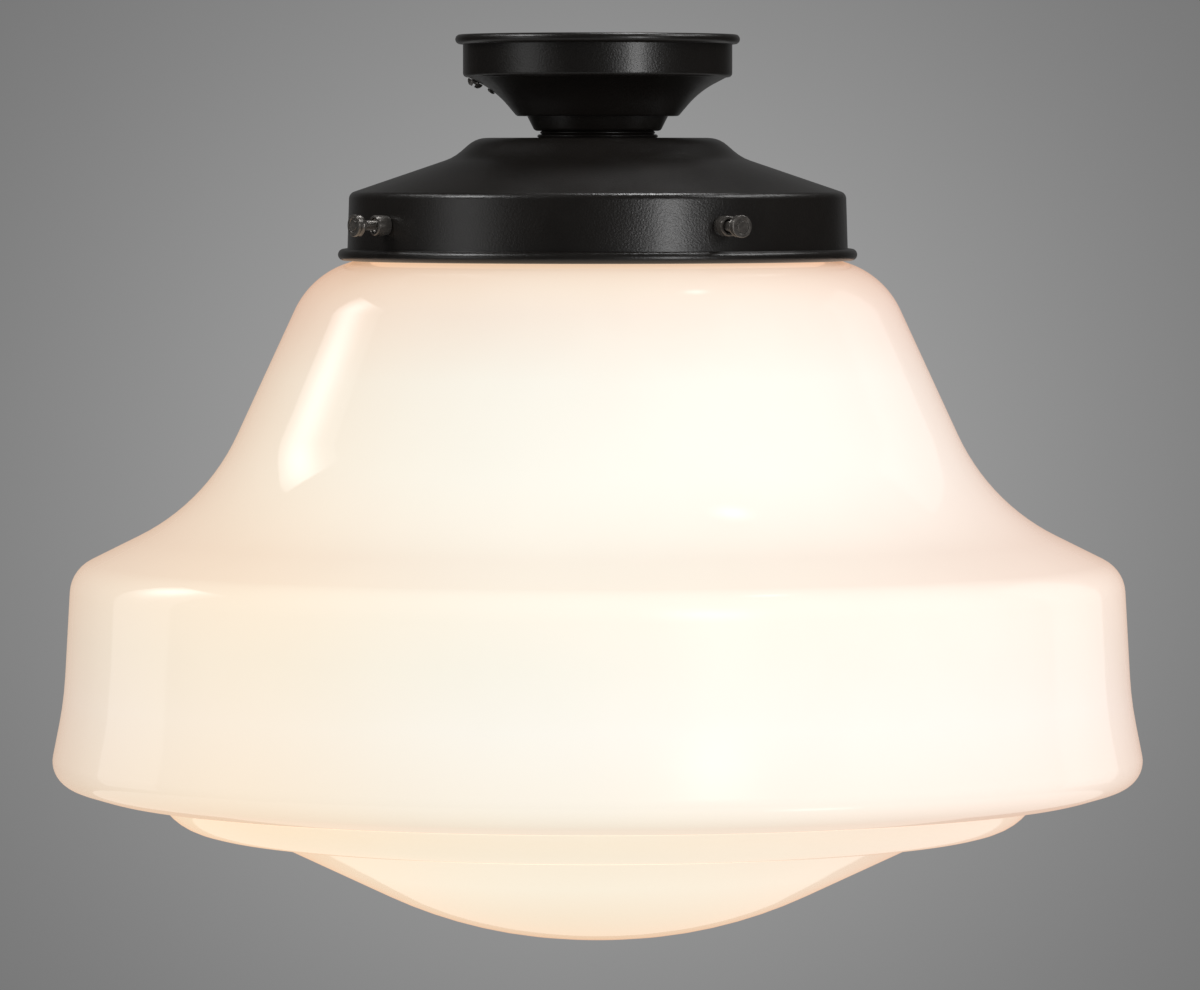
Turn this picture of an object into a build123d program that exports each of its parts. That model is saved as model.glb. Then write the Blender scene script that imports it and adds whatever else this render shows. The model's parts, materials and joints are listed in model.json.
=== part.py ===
from build123d import *
import math
import os

# Semi-flush ceiling light with a stepped opal glass shade held by four thumbscrews.
# Millimetres. Z = 0 is the ceiling plane, +Z points up into the ceiling, and the light hangs
# along -Z. The viewer of the reference view stands on the -Y side, with +X to the right.

# ---- Driving dimensions ----

# Fits and gaps
plain_gap = 0.2            # radial play of a plain hole round what passes through it
thread_fit = 0.05          # radial clearance of a screw in its own thread
body_gap = 0.3             # air between pieces that move past each other

# Canopy: spun steel cup with a rolled rim
canopy_sheet = 0.9
canopy_radius = 56.4       # outside of the straight wall
canopy_wall_depth = 17.9   # ceiling to the ledge under the wall
canopy_depth = 34.1
canopy_corner = 1.8
rim_bead_radius = 2.05
rim_flat_depth = 0.05      # the bead's top is dressed flat against the ceiling
ledge_width = 2.4          # ledge between the wall and the flare
ledge_fillet = 0.5
flare_waist_inset = 13.7   # canopy's wall in to the waist of the flare
flare_waist_rise = 10.4    # above the canopy's foot
flare_curve = 38.0
canopy_foot_inset = 22.5   # canopy's wall in to the corner of its foot
canopy_foot_fillet = 1.8
curl_sweep = 290.0         # degrees that a rolled edge turns through
spline_steps = 12          # places at which a free curve is measured when it is moved sideways

# Neck: tapered cup, and a turned ring with two beads
cup_sheet = 1.2
cup_top_radius = 29.5
cup_foot_radius = 26.4
cup_height = 6.2
cup_fillet = 2.0
ring_height = 2.9
ring_upper_radius = 24.1
ring_lower_radius = 25.3
ring_bead = 0.23           # how far a bead stands out, as a share of the ring's height
ring_recess_radius = 18.0
ring_recess_depth = 1.4

# Holder: spun steel cone with a skirt and a rolled lower edge
holder_sheet = 1.0
crown_radius = 50.8
crown_curve = 12.0
waist_width = 9.4          # how much wider the waist of the cone is than its crown
waist_drop = 8.2
waist_curve = 20.0
shoulder_radius = 104.1
shoulder_drop = 23.2
shoulder_curve = 3.2
skirt_flare = 0.8          # the skirt's foot is this much wider than its shoulder
skirt_bead_radius = 2.45
skirt_below_screw = 12.8   # screw axis to the middle of the bead

# Thumbscrews and the bosses that they turn in
screw_angles = {"back_right": 34.0, "back_left": 119.0, "front_left": 214.0, "front_right": 299.0}
screw_radius = 2.085
boss_radius = 4.2
boss_length = 6.3
boss_shank_radius = 3.2
boss_flange_radius = 4.1
boss_flange = 0.7
boss_mouth_radius = 3.1
boss_mouth_depth = 1.2
boss_mouth_taper = 0.8
boss_chamfer = 0.4
screw_showing = 4.3        # thread between the boss and the head
screw_tip = 0.6
head_taper = 2.5
head_taper_radius = 3.9
knurl_length = 2.0
knurl_radius = 4.4
knurl_depth = 0.4
knurl_count = 24
head_rim = 1.2
head_radius = 4.6
head_chamfer = 0.4
face_groove_radius = 2.9
face_groove_width = 0.5
face_groove_depth = 0.35

# Glass shade, sizes of its outside
glass_wall = 4.0
lip_to_skirt = 3.3         # air between the glass lip and the inside of the skirt
lip_stand_out = 1.4
lip_height = 5.0
lip_below_shoulder = 1.1   # holder's shoulder corner to the top of the lip
lip_over_screw = 4.7       # lip's foot to the thumbscrew's thread
lip_fillet = 1.2
throat_over_bead_foot = 1.0
# The glass below its lip is drawn for a neck of this radius, and grows with the real one.
# Corners: (radius, depth under the throat, radius of the turn there)
drawn_neck_radius = 98.4
throat_turn = 6.0
bell_top = (120.1, 6.9, 37.0)
bell_foot = (164.4, 102.7, 90.0)
shoulder_top = (220.7, 130.6, 15.0)
drum_waist = (223.8, 184.8, 150.0)
drum_belly = (230.4, 217.8, 10.9)
drum_foot = (210.8, 223.7, 16.0)
tier_top = (184.7, 224.6, 1.2)
tier_foot = (178.9, 238.9, 22.0)
dome_rim = (144.8, 240.3, 17.0)
dome_turn = (49.7, 285.4, 196.0)

# Threaded nipple and the nuts and washers on it
nipple_radius = 5.15
nipple_bore_radius = 3.4
nipple_top_depth = 3.0
nipple_chamfer = 0.5
locknut_width = 15.9       # across flats
locknut_height = 4.0
clamp_nut_height = 5.5
nut_bevel = 0.6            # bevel of a nut's corners, as a share of how far they stand out
washer_outer_radius = 9.4
washer_thickness = 1.6
washer_slit = 1.2

# Crossbar: slotted strap with a dropped middle
strap_thickness = 1.6
strap_width = 20.0
strap_end_gap = 2.5        # air between the strap's ends and the canopy's wall
strap_drop = 9.0
strap_web_half = 18.0
strap_leg_run = 5.0
strap_bend = 2.4
slot_spacing = 79.4
slot_length = 14.0
slot_width = 4.4
collar_radius = 7.4
strap_collar = 3.0         # height of the tapped collar under the web
strap_corner = 3.0

# Small screws
ground_screw_place = 13.2  # from the axis, along the strap
ground_screw_radius = 2.4
ground_screw_length = 7.0
ground_head_radius = 4.8
ground_flange = 0.8
ground_hex_width = 7.9
ground_hex_height = 3.2
canopy_screw_place = 0.35  # share of the flare's straight part, from below
canopy_screw_radius = 1.75
canopy_screw_length = 9.0
canopy_head_radius = 3.35
canopy_head_top_radius = 1.85
canopy_head_height = 2.4
canopy_head_side = 0.7     # height of the head's straight side
canopy_slot_width = 1.1
canopy_slot_depth = 1.2
canopy_nut_width = 6.4
canopy_nut_height = 2.4
rivet_place = 0.60         # share of the flare's curved part, from below
rivet_radius = 1.0
rivet_head_radius = 1.7
rivet_top_radius = 1.0
rivet_head_height = 1.0
rivet_tail_height = 0.6

# Socket: steel cap, porcelain body, brass screw shell and contact
socket_drop = 12.0         # clamp nut to the top of the cap's collar
cap_collar_radius = 7.6
cap_collar_height = 6.0
cap_sheet = 0.8
cap_radius = 18.0
cap_height = 9.0
cap_fillet = 2.5
socket_neck_radius = 16.7
socket_flange_radius = 21.0
socket_flange = 4.0
socket_radius = 19.4
socket_skirt = 30.0        # flange's foot to the mouth
socket_floor = 9.0         # flange's foot to the floor of the screw cavity
socket_mouth_bead = 1.0    # how far the bead at the mouth stands out
socket_bead_height = 4.0
socket_edge = 0.8          # chamfer of the flange
socket_neck_edge = 2.0
nipple_pocket = 3.0        # depth of the pocket for the nipple's end
thread_pitch = 3.63
thread_flank = 0.35        # share of the pitch that a flank takes
thread_crest = 0.15        # share of the pitch that the crest takes
thread_depth = 0.7
socket_thread_count = 5
shell_sheet = 0.4
shell_lamp_gap = 0.35      # air between the lamp's thread and the shell
terminal_radius = 3.2
terminal_height = 2.0
terminal_shank = 1.6
terminal_slot_width = 0.9
terminal_slot_depth = 0.7
terminal_screw_length = 3.6
contact_width = 5.0
contact_sheet = 0.5
contact_bend = 1.1
contact_rise = 3.2         # tongue below the cavity's floor
contact_inset = 4.0        # shell's wall in to the contact's ends
cap_screw_place = 11.6
cap_screw_head = 2.6
cap_screw_head_height = 1.6
cap_screw_slot_width = 0.8
cap_screw_slot_depth = 0.7
cap_screw_shank = 1.4
cap_screw_length = 6.0

# Lamp: medium-base lamp with a pear-shaped envelope
lamp_thread_radius = 13.05
lamp_thread_count = 5
lamp_bulb_radius = 33.5
lamp_length = 128.0
lamp_glass = 1.0
lamp_neck_radius = 14.5
lamp_skirt_height = 4.0
lamp_button_radius = 4.5
lamp_button_height = 1.6
lamp_button_edge = 0.8
lamp_button_crown = 0.2
lamp_cone_height = 3.4
lamp_cone_rim = 1.6        # base metal round the button
lamp_insulator_depth = 3.0
lamp_neck_drop = 6.0       # base's foot to the narrowest place of the envelope
lamp_shoulder_angle = 40.0 # where the envelope's neck meets its ball, degrees above its middle
lamp_stem_radius = 5.0
lamp_stem_top_radius = 3.0
lamp_stem_height = 22.0
lamp_stem_foot = 1.2
lamp_stem_taper = 5.0
filament_count = 4
filament_radius = 1.0
filament_length = 32.0
filament_circle = 9.0

# ---- Levels and sizes worked out from them ----

cup_top = -canopy_depth
ring_top = cup_top - cup_height
crown = ring_top - ring_height
shoulder = crown - shoulder_drop
lip_top = shoulder - lip_below_shoulder
lip_foot = lip_top - lip_height
screw_level = lip_foot - lip_over_screw - screw_radius
bead_level = screw_level - skirt_below_screw
waist_radius = crown_radius + waist_width
skirt_foot_radius = shoulder_radius + skirt_flare
canopy_foot_radius = canopy_radius - canopy_foot_inset
flare_waist_radius = canopy_radius - flare_waist_inset
lip_radius = shoulder_radius - holder_sheet - lip_to_skirt
glass_neck_radius = lip_radius - lip_stand_out
throat = bead_level - skirt_bead_radius + throat_over_bead_foot
glass_scale = glass_neck_radius / drawn_neck_radius
glass_foot = throat - dome_turn[1] * glass_scale

nipple_hole = nipple_radius + plain_gap
web_top = -strap_drop
web_foot = web_top - strap_thickness
holder_inside = crown - holder_sheet
clamp_nut_top = holder_inside - washer_thickness
clamp_nut_foot = clamp_nut_top - clamp_nut_height
cap_collar_top = clamp_nut_foot - socket_drop
cap_top = cap_collar_top - cap_collar_height
cap_foot = cap_top - cap_height
nipple_foot = cap_top - cap_sheet
flange_foot = cap_foot - socket_flange
socket_mouth = flange_foot - socket_skirt
cavity_floor = flange_foot - socket_floor
shell_radius = lamp_thread_radius + shell_lamp_gap
shell_outside = shell_radius + thread_depth + shell_sheet
cavity_radius = shell_outside + plain_gap
shell_top = cavity_floor - body_gap
contact_foot = cavity_floor - contact_rise
lamp_top = contact_foot - body_gap
lamp_thread_top = lamp_top - lamp_button_height - lamp_cone_height
lamp_thread_foot = lamp_thread_top - lamp_thread_count * thread_pitch
lamp_shell_foot = lamp_thread_foot - lamp_skirt_height
lamp_foot = lamp_top - lamp_length
base_root = lamp_thread_radius - thread_depth
base_bore = base_root - shell_sheet

tip_radius = glass_neck_radius + body_gap


# ---- Tools for turned and spun pieces; outlines are drawn as (radius, height) ----

def left_of(edge, place):
    """Unit vector to the left of an edge at a place along it."""
    along = edge % place
    return Vector(-along.Y, along.X)


def moved_edge(edge, distance):
    """An edge moved sideways, to its left where the distance is positive."""
    kind = edge.geom_type
    steps = spline_steps if kind == GeomType.BSPLINE else 2
    places = [step / steps for step in range(steps + 1)]
    points = [edge @ place + left_of(edge, place) * distance for place in places]
    if kind == GeomType.LINE:
        return Line(points[0], points[-1])
    if kind == GeomType.CIRCLE:
        return ThreePointArc(*points)
    return Spline(points, tangents=[edge % 0, edge % 1])


def moved_path(path, distance):
    """A path moved sideways, with an arc about each corner that opens."""
    moved = [moved_edge(path[0], distance)]
    for edge in path[1:]:
        following = moved_edge(edge, distance)
        start = moved[-1] @ 1
        end = following @ 0
        if (end - start).length > thread_fit:
            corner = edge @ 0
            outward = ((start + end) / 2 - corner).normalized()
            moved.append(ThreePointArc(start, corner + outward * abs(distance), end))
        moved.append(following)
    return moved


def sheet_outline(path, thickness):
    """Closed face between a path and the same path moved sideways by a sheet's thickness."""
    inner = moved_path(path, thickness)
    ends = [Line(path[0] @ 0, inner[0] @ 0)]
    ends.append(Line(path[-1] @ 1, inner[-1] @ 1))
    return make_face(path + inner + ends)


def turned(face):
    """Body of revolution of a (radius, height) face about the light's axis."""
    return revolve(Plane.XZ * face, Axis.Z)


def outline(*points):
    """Closed straight-sided face through (radius, height) points."""
    return make_face(Polyline(*points, close=True))


def tube(inner, outer, top, foot):
    """Plain tube about the axis, or a disc where the inner radius is nothing."""
    return turned(outline((inner, foot), (outer, foot), (outer, top), (inner, top)))


def chamfered_tube(inner, outer, top, foot, cut):
    """Tube about the axis with both outer edges broken."""
    return turned(outline((inner, foot), (outer - cut, foot), (outer, foot + cut),
                          (outer, top - cut), (outer - cut, top), (inner, top)))


def disc(radius, top, foot):
    """Solid cylinder about the axis."""
    return Pos(0, 0, foot) * Cylinder(radius, top - foot, align=(Align.CENTER, Align.CENTER, Align.MIN))


def rod(radius, start, end):
    """Solid cylinder along Z between two levels, given in either order."""
    return disc(radius, max(start, end), min(start, end))


def slot_cutter(head_radius, width, depth, top):
    """Block that cuts a driver's slot across a head."""
    return Pos(0, 0, top) * Box(3 * head_radius, width, 2 * depth)


def hex_nut(across_flats, bore, top, foot):
    """Hexagon nut about the axis, with its corners turned off at both faces."""
    height = top - foot
    corner = across_flats / math.sqrt(3)
    bevel = (corner - across_flats / 2) * nut_bevel
    blank = extrude(RegularPolygon(across_flats / 2, 6, major_radius=False), height)
    envelope = chamfered_tube(bore, corner, top, foot, bevel)
    return (Pos(0, 0, foot) * blank) & envelope


def spring_washer(inner, outer, top, foot, slit):
    """Split washer: a square-section ring cut through on one side."""
    ring = tube(inner, outer, top, foot)
    gap = Pos((inner + outer) / 2, 0, (top + foot) / 2) * Box(2 * (outer - inner), slit, 2 * (top - foot))
    return ring - gap


def around(shape, count, first):
    """Copies of a shape spread evenly about the axis."""
    return [Rot(0, 0, first + 360 * number / count) * shape for number in range(count)]


def save(shape, node):
    """Writes one sub-part to its STEP file."""
    if isinstance(shape, (list, tuple)):
        shape = Compound(children=[piece if isinstance(piece, Solid) else piece.solid() for piece in shape])
    export_step(shape, f"parts/{node}.step")


# ---- Canopy ----

def canopy_path():
    """Outside of the spun cup, from the nipple's hole to the top of the wall."""
    return FilletPolyline((nipple_hole, -canopy_depth),
                          (canopy_foot_radius, -canopy_depth),
                          (flare_waist_radius, -canopy_depth + flare_waist_rise),
                          (canopy_radius - ledge_width, -canopy_wall_depth),
                          (canopy_radius, -canopy_wall_depth),
                          (canopy_radius, rim_flat_depth - rim_bead_radius),
                          radius=[canopy_foot_fillet, flare_curve, ledge_fillet, canopy_corner]).order_edges()


def flare_frame(edge, place, stand_off):
    """Placement on the left of the flare, part of the way along an edge of it, local Z outwards."""
    out = -left_of(edge, place)
    point = edge @ place + out * stand_off
    return Location(Plane(origin=(-point.X, 0, point.Y), x_dir=(0, 1, 0), z_dir=(-out.X, 0, out.Y)))


def flare_bend():
    """Curved part of the flare: the widest turn of the canopy's outline."""
    return canopy_path().filter_by(GeomType.CIRCLE).sort_by(SortBy.RADIUS)[-1]


def flare_straight():
    """Straight part of the flare, which goes on from its curve."""
    bend = flare_bend()
    return [edge for edge in canopy_path() if (edge @ 0 - bend @ 1).length < thread_fit][0]


def screw_frame(stand_off):
    """Placement of the canopy screw, on the straight part of the flare."""
    return flare_frame(flare_straight(), canopy_screw_place, stand_off)


def rivet_frame(stand_off):
    """Placement of the rivet, on the curved part of the flare."""
    return flare_frame(flare_bend(), rivet_place, stand_off)


def canopy():
    """Spun cup: flat foot, concave flare, ledge, straight wall and a rim rolled outwards."""
    curl_inner = rim_bead_radius - canopy_sheet
    curl_level = rim_flat_depth - rim_bead_radius
    curl = CenterArc((canopy_radius + curl_inner, curl_level), curl_inner, 180, -curl_sweep)
    cup = turned(sheet_outline(list(canopy_path()) + [curl], canopy_sheet))
    above = Pos(0, 0, rim_bead_radius) * Box(4 * canopy_radius, 4 * canopy_radius, 2 * rim_bead_radius)
    cup -= screw_frame(0) * Cylinder(canopy_screw_radius + thread_fit, 6 * canopy_sheet)
    cup -= rivet_frame(0) * Cylinder(rivet_radius + thread_fit, 6 * canopy_sheet)
    return cup - above


def canopy_screw():
    """Slotted round-head screw through the flare, its slot across the line of sight."""
    top = (canopy_head_top_radius, canopy_head_height)
    side = (canopy_head_radius, canopy_head_side)
    head = turned(make_face([
        Line((0, 0), (canopy_head_radius, 0)),
        Line((canopy_head_radius, 0), side),
        RadiusArc(side, top, -canopy_head_radius),
        Line(top, (0, canopy_head_height)),
        Line((0, canopy_head_height), (0, 0))]))
    slot = slot_cutter(canopy_head_radius, canopy_slot_width, canopy_slot_depth, canopy_head_height)
    return screw_frame(plain_gap) * (head - slot + rod(canopy_screw_radius, 0, -canopy_screw_length))


def canopy_nut():
    """Hexagon nut of the canopy screw, against the inside of the flare."""
    nut = hex_nut(canopy_nut_width, canopy_screw_radius + thread_fit, 0, -canopy_nut_height)
    return screw_frame(-canopy_sheet - plain_gap) * nut


def canopy_rivet():
    """Small domed rivet lower on the flare, closed over on the inside."""
    half = rivet_head_height / 2
    depth = canopy_sheet + 2 * plain_gap
    head = outline((0, -depth - rivet_tail_height), (rivet_head_radius, -depth - rivet_tail_height),
                   (rivet_head_radius, -depth), (rivet_radius, -depth), (rivet_radius, 0),
                   (rivet_head_radius, 0), (rivet_head_radius, half), (rivet_top_radius, 2 * half),
                   (0, 2 * half))
    return rivet_frame(plain_gap / 2) * turned(head)


# ---- Crossbar ----

def crossbar():
    """Strap with a dropped middle, two slots for the outlet box and a tapped collar."""
    half = canopy_radius - canopy_sheet - strap_end_gap
    leg = strap_web_half + strap_leg_run
    right = FilletPolyline((0, web_foot), (strap_web_half, web_foot), (leg, -strap_thickness),
                           (half, -strap_thickness), radius=[strap_bend, strap_bend])
    section = sheet_outline(list(right.order_edges()), strap_thickness)
    arm = extrude(Plane.XZ * section, strap_width / 2, both=True)
    arm = fillet(arm.edges().filter_by(Axis.Z).group_by(Axis.X)[-1], strap_corner)
    bar = arm + Rot(0, 0, 180) * arm
    collar = tube(nipple_radius, collar_radius, web_foot, web_foot - strap_collar)
    bar = bar + collar - disc(nipple_radius + thread_fit, 0, web_foot - 2 * strap_collar)
    for side in (-1, 1):
        slot = extrude(SlotOverall(slot_length, slot_width), strap_drop, both=True)
        bar -= Pos(side * slot_spacing / 2, 0, 0) * slot
    return bar - Pos(ground_screw_place, 0, web_foot) * Cylinder(ground_screw_radius + thread_fit, strap_drop)


def ground_screw():
    """Hexagon washer-head screw, driven up into the strap's web."""
    washer = rod(ground_head_radius, 0, -ground_flange)
    hexagon = extrude(RegularPolygon(ground_hex_width / 2, 6, major_radius=False), -ground_hex_height)
    slot = slot_cutter(ground_hex_width, canopy_slot_width, canopy_slot_depth, -ground_hex_height)
    shank = rod(ground_screw_radius, 0, ground_screw_length)
    return Pos(ground_screw_place, 0, web_foot) * (washer + hexagon + shank - slot)


# ---- Nipple, nuts and washers ----

def nipple():
    """Hollow threaded tube that carries the whole light."""
    cut = nipple_chamfer
    return chamfered_tube(nipple_bore_radius, nipple_radius, -nipple_top_depth, nipple_foot, cut)


def crossbar_locknut():
    return hex_nut(locknut_width, nipple_radius + thread_fit, web_top + locknut_height, web_top)


def holder_washer():
    return spring_washer(nipple_hole, washer_outer_radius, holder_inside, clamp_nut_top, washer_slit)


def holder_nut():
    return hex_nut(locknut_width, nipple_radius + thread_fit, clamp_nut_top, clamp_nut_foot)


def socket_locknut():
    return hex_nut(locknut_width, nipple_radius + thread_fit, cap_collar_top + locknut_height, cap_collar_top)


# ---- Neck ----

def neck_cup():
    """Tapered cup, open upwards, under the canopy."""
    path = FilletPolyline((nipple_hole, ring_top), (cup_foot_radius, ring_top), (cup_top_radius, cup_top),
                          radius=cup_fillet)
    cup = turned(sheet_outline(list(path.order_edges()), cup_sheet))
    return cup & disc(2 * cup_top_radius, cup_top, ring_top)


def neck_ring():
    """Turned ring with two beads and a recess on top."""
    half = ring_height / 2
    upper = ring_upper_radius - ring_bead * ring_height
    lower = ring_lower_radius - ring_bead * ring_height
    middle = ring_top - half
    face = make_face([
        Line((nipple_hole, crown), (lower, crown)),
        ThreePointArc((lower, crown), (ring_lower_radius, crown + half / 2), (lower, middle)),
        Line((lower, middle), (upper, middle)),
        ThreePointArc((upper, middle), (ring_upper_radius, middle + half / 2), (upper, ring_top)),
        Line((upper, ring_top), (ring_recess_radius, ring_top)),
        Line((ring_recess_radius, ring_top), (ring_recess_radius, ring_top - ring_recess_depth)),
        Line((ring_recess_radius, ring_top - ring_recess_depth), (nipple_hole, ring_top - ring_recess_depth)),
        Line((nipple_hole, ring_top - ring_recess_depth), (nipple_hole, crown))])
    return turned(face)


# ---- Holder and its bosses ----

def skirt_radius(level):
    """Outside radius of the skirt at a level; it widens a little towards its foot."""
    share = (shoulder - level) / (shoulder - bead_level)
    return shoulder_radius + skirt_flare * share


def holder():
    """Spun cone with a domed crown, straight skirt and an edge rolled outwards."""
    curl_inner = skirt_bead_radius - holder_sheet
    body = FilletPolyline((nipple_hole, crown), (crown_radius, crown), (waist_radius, crown - waist_drop),
                          (shoulder_radius, shoulder), (skirt_foot_radius, bead_level),
                          radius=[crown_curve, waist_curve, shoulder_curve])
    edge = body.order_edges()[-1]
    across = left_of(edge, 1) * curl_inner
    centre = edge @ 1 + across
    start = math.degrees(math.atan2(-across.Y, -across.X))
    curl = CenterArc((centre.X, centre.Y), curl_inner, start, curl_sweep)
    shell = turned(sheet_outline(list(body.order_edges()) + [curl], -holder_sheet))
    hole = Pos(shoulder_radius, 0, screw_level) * Rot(0, 90, 0) * Cylinder(
        boss_shank_radius + thread_fit, 8 * holder_sheet)
    for cutter in at_screws(hole):
        shell -= cutter
    return shell


def boss():
    """Tapped boss, drawn along its own axis: body outside, shank in the hole, flange inside."""
    seat = skirt_radius(screw_level - boss_radius) + thread_fit
    inside = math.sqrt((skirt_radius(screw_level + boss_flange_radius) - holder_sheet) ** 2
                       - boss_flange_radius ** 2) - thread_fit
    bore = screw_radius + thread_fit
    mouth = seat + boss_length
    face = outline((bore, inside - boss_flange), (boss_flange_radius, inside - boss_flange),
                   (boss_flange_radius, inside), (boss_shank_radius, inside), (boss_shank_radius, seat),
                   (boss_radius, seat), (boss_radius, mouth - boss_chamfer),
                   (boss_radius - boss_chamfer, mouth), (boss_mouth_radius, mouth),
                   (boss_mouth_radius, mouth - boss_mouth_depth),
                   (bore, mouth - boss_mouth_depth - boss_mouth_taper))
    return along_screw(turned(face))


def along_screw(shape):
    """Lays a shape made about Z along +X, at the level of the thumbscrews."""
    return Pos(0, 0, screw_level) * Rot(0, 90, 0) * shape


def at_screws(shape):
    """Copies of a shape that lies along +X, one at each thumbscrew."""
    return [Rot(0, 0, angle) * shape for angle in screw_angles.values()]


def thumbscrew():
    """Knurled screw along +X: chamfered tip, thread, taper, knurl, rim and grooved face."""
    head_start = skirt_radius(screw_level - boss_radius) + boss_length + screw_showing
    taper_end = head_start + head_taper
    knurl_end = taper_end + knurl_length
    face_end = knurl_end + head_rim
    root = knurl_radius - knurl_depth
    groove_radius = face_groove_radius - face_groove_width
    groove_foot = face_end - face_groove_depth
    shape = outline((0, tip_radius), (screw_radius - screw_tip, tip_radius),
                    (screw_radius, tip_radius + screw_tip), (screw_radius, head_start),
                    (head_taper_radius, taper_end), (root, taper_end),
                    (root, knurl_end), (head_radius, knurl_end),
                    (head_radius, face_end - head_chamfer), (head_radius - head_chamfer, face_end),
                    (face_groove_radius, face_end), (face_groove_radius, groove_foot),
                    (groove_radius, groove_foot), (groove_radius, face_end), (0, face_end))
    band = Pos(0, 0, taper_end) * extrude(knurl(root), knurl_length)
    return along_screw(turned(shape) + band)


def knurl(root):
    """Section of the knurled band: pointed teeth that stand on a root circle."""
    step = math.pi / knurl_count
    points = []
    for number in range(2 * knurl_count):
        radius = root if number % 2 else knurl_radius
        points.append((radius * math.cos(number * step), radius * math.sin(number * step)))
    return make_face(Polyline(*points, close=True))


# ---- Glass shade ----

def glass_outline():
    """Outside of the shade, from the neck down to the bottom of the dome."""
    corners = [bell_top, bell_foot, shoulder_top, drum_waist, drum_belly, drum_foot,
               tier_top, tier_foot, dome_rim, dome_turn]
    points = [(glass_neck_radius, lip_foot), (glass_neck_radius, throat)]
    points += [(radius * glass_scale, throat - depth * glass_scale) for radius, depth, turn in corners]
    points.append((0, glass_foot))
    turns = [throat_turn * glass_scale] + [turn * glass_scale for radius, depth, turn in corners]
    return FilletPolyline(*points, radius=turns).order_edges()


def glass_shade():
    """Blown opal shade: lipped neck, bell, broad drum, small tier and shallow dome."""
    wall = turned(sheet_outline(list(glass_outline()), -glass_wall))
    inside = glass_neck_radius - glass_wall
    edge = FilletPolyline((inside, lip_foot), (lip_radius, lip_foot), (lip_radius, lip_top),
                          (inside, lip_top), radius=lip_fillet)
    lip = turned(make_face(edge.edges() + [Line((inside, lip_top), (inside, lip_foot))]))
    return wall + lip


# ---- Socket ----

def thread_path(radius, depth, top, count, pitch):
    """Rolled thread as a zigzag of straight flanks: (radius, height) points going down."""
    points = [(radius, top)]
    for number in range(count):
        level = top - number * pitch
        points.append((radius + depth, level - pitch * thread_flank))
        points.append((radius + depth, level - pitch * (thread_flank + thread_crest)))
        points.append((radius, level - pitch * (2 * thread_flank + thread_crest)))
        points.append((radius, level - pitch))
    return points


def socket_cap():
    """Drawn steel cap with a tapped collar, over the top of the porcelain."""
    path = FilletPolyline((nipple_radius + thread_fit, cap_top), (cap_radius, cap_top),
                          (cap_radius, cap_foot), radius=cap_fillet)
    cap = turned(sheet_outline(list(path.order_edges()), -cap_sheet))
    collar = tube(nipple_radius + thread_fit, cap_collar_radius, cap_collar_top, cap_top)
    hole = Cylinder(cap_screw_shank + thread_fit, 4 * cap_sheet)
    cap = cap + collar
    for side in (-1, 1):
        cap -= Pos(0, side * cap_screw_place, cap_top) * hole
    return cap


def socket_body():
    """Glazed porcelain: neck in the cap, flange, skirt with a mouth bead, and a screw cavity."""
    neck_top = cap_top - cap_sheet
    edge = socket_edge
    bead_radius = socket_radius + socket_mouth_bead
    body = turned(outline(
        (0, neck_top), (socket_neck_radius - socket_neck_edge, neck_top),
        (socket_neck_radius, neck_top - socket_neck_edge), (socket_neck_radius, cap_foot),
        (socket_flange_radius - edge, cap_foot), (socket_flange_radius, cap_foot - edge),
        (socket_flange_radius, flange_foot + edge), (socket_flange_radius - edge, flange_foot),
        (socket_radius, flange_foot), (socket_radius, socket_mouth + socket_bead_height),
        (bead_radius, socket_mouth + socket_bead_height - socket_mouth_bead),
        (bead_radius, socket_mouth + socket_mouth_bead), (socket_radius, socket_mouth),
        (cavity_radius, socket_mouth), (cavity_radius, cavity_floor), (0, cavity_floor)))
    body -= disc(nipple_radius + plain_gap, neck_top, neck_top - nipple_pocket)
    cap_hole = rod(cap_screw_shank + thread_fit, 0, -cap_screw_length - body_gap)
    for side in (-1, 1):
        body -= Pos(0, side * cap_screw_place, cap_top) * cap_hole
    terminal_hole = along_terminal(rod(terminal_shank + thread_fit, 0, -terminal_screw_length - body_gap))
    for hole in around(terminal_hole, 2, 0):
        body -= hole
    return body


def along_terminal(shape):
    """Lays a shape made about Z on the side of the porcelain, between its flange and its cavity."""
    level = (flange_foot + cavity_floor) / 2
    return Pos(socket_radius + thread_fit, 0, level) * Rot(0, 90, 0) * shape


def terminal_screws():
    """Two slotted binding-head screws on the sides of the porcelain."""
    head = rod(terminal_radius, 0, terminal_height)
    slot = slot_cutter(terminal_radius, terminal_slot_width, terminal_slot_depth, terminal_height)
    shank = rod(terminal_shank, 0, -terminal_screw_length)
    return around(along_terminal(head - slot + shank), 2, 0)


def cap_screws():
    """Two pan-head screws that hold the cap to the porcelain."""
    head = rod(cap_screw_head, 0, cap_screw_head_height)
    slot = slot_cutter(cap_screw_head, cap_screw_slot_width, cap_screw_slot_depth, cap_screw_head_height)
    shank = rod(cap_screw_shank, 0, -cap_screw_length)
    return [Pos(0, side * cap_screw_place, cap_top) * (head - slot + shank) for side in (-1, 1)]


def screw_shell():
    """Rolled brass shell that the lamp screws into."""
    points = thread_path(shell_radius, thread_depth, shell_top, socket_thread_count, thread_pitch)
    inner = [(radius + shell_sheet, level) for radius, level in reversed(points)]
    return turned(outline(*points, *inner))


def centre_contact():
    """Brass spring: flat on the cavity's floor, folded back under it as a tongue."""
    reach = shell_radius - contact_inset
    fold = reach / 2
    path = FilletPolyline((-reach, 0), (fold - contact_bend, 0), (fold + contact_bend, -contact_rise),
                          (-fold, -contact_rise), radius=contact_bend)
    strip = sheet_outline(list(path.order_edges()), -contact_sheet)
    return Pos(0, 0, cavity_floor) * extrude(Plane.XZ * strip, contact_width / 2, both=True)


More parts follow.
